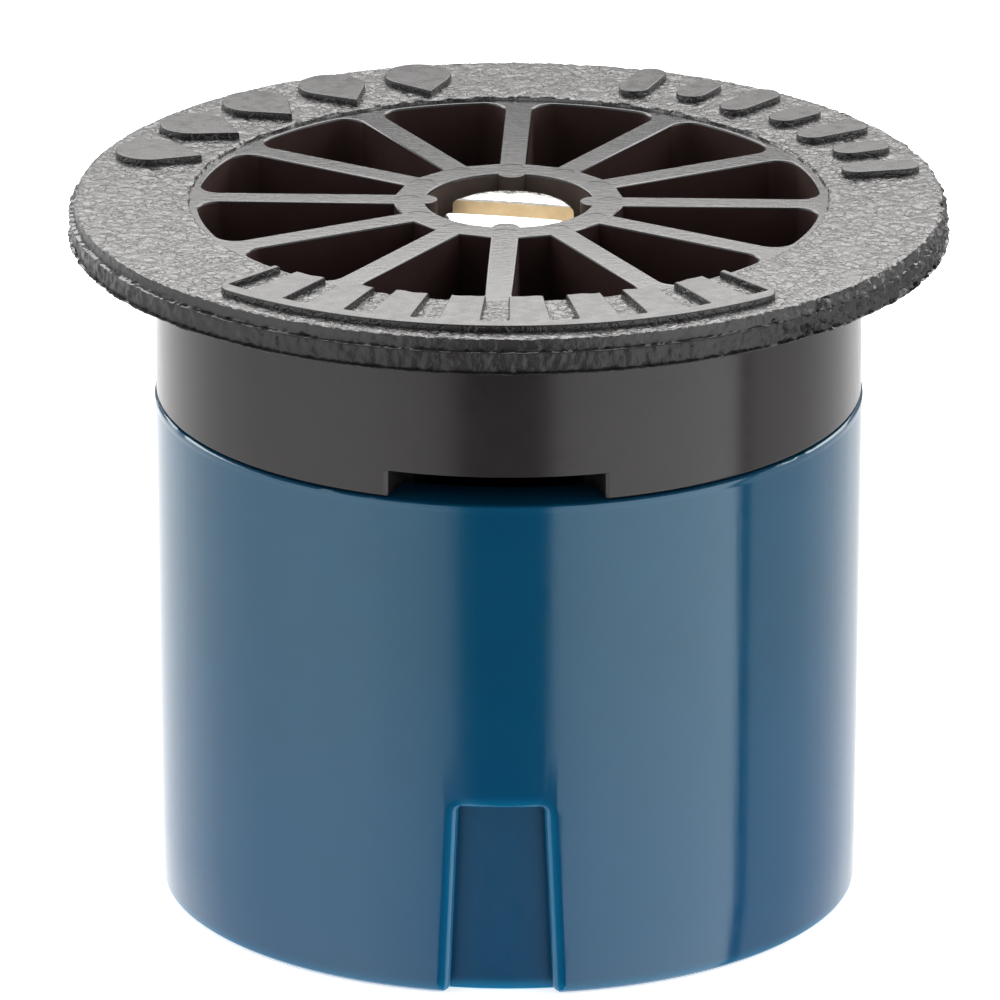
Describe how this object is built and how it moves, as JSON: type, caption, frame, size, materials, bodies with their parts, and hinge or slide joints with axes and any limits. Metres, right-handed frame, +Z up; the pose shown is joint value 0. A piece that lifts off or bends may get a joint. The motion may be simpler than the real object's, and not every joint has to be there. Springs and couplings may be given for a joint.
{
  "type": "spray nozzle head of a pop up sprinkler",
  "caption": "Spray nozzle for a pop up sprinkler: black flanged deflector cap with radial pockets and an arc indicator on a blue female-threaded body, with an adjusting screw.",
  "frame": {"origin": "bottom centre of the bounding box: the centre of the skirt's rim, which stands on z = 0", "axes": "+Z up along the nozzle's axis, towards the flange; the outlet and the arc indicator face -Y"},
  "size_m": [0.0222, 0.0222, 0.0182],
  "materials": {
    "blue_plastic": "moulded, semi-gloss",
    "black_plastic": "moulded, grained top face and spark-textured rim, satin collar",
    "stainless_steel": "turned, bright",
    "seal_rubber": "matt",
    "acetal": "natural, satin"
  },
  "bodies": {
    "nozzle": {"nozzle_body": "blue_plastic", "deflector_cap": "black_plastic", "flow_control_washer": "seal_rubber", "washer_retainer": "acetal", "riser_gasket": "seal_rubber"},
    "screw_slider": {"screw_o_ring": "seal_rubber"},
    "screw": {"adjusting_screw": "stainless_steel"}
  },
  "joints": [
    {"name": "screw_travel", "type": "slide", "parent": "nozzle", "child": "screw_slider", "axis": [0, 0, 1], "range_m": [-0.002, 0.0002]},
    {"name": "screw_turn", "type": "hinge", "parent": "screw_slider", "child": "screw", "pos_m": [0, 0, 0.0136], "axis": [0, 0, 1], "range_deg": [-1441, 145]}
  ],
  "couplings": [
    {"joint": "screw_turn", "follows": "screw_travel", "rad_per_m": 12566}
  ]
}
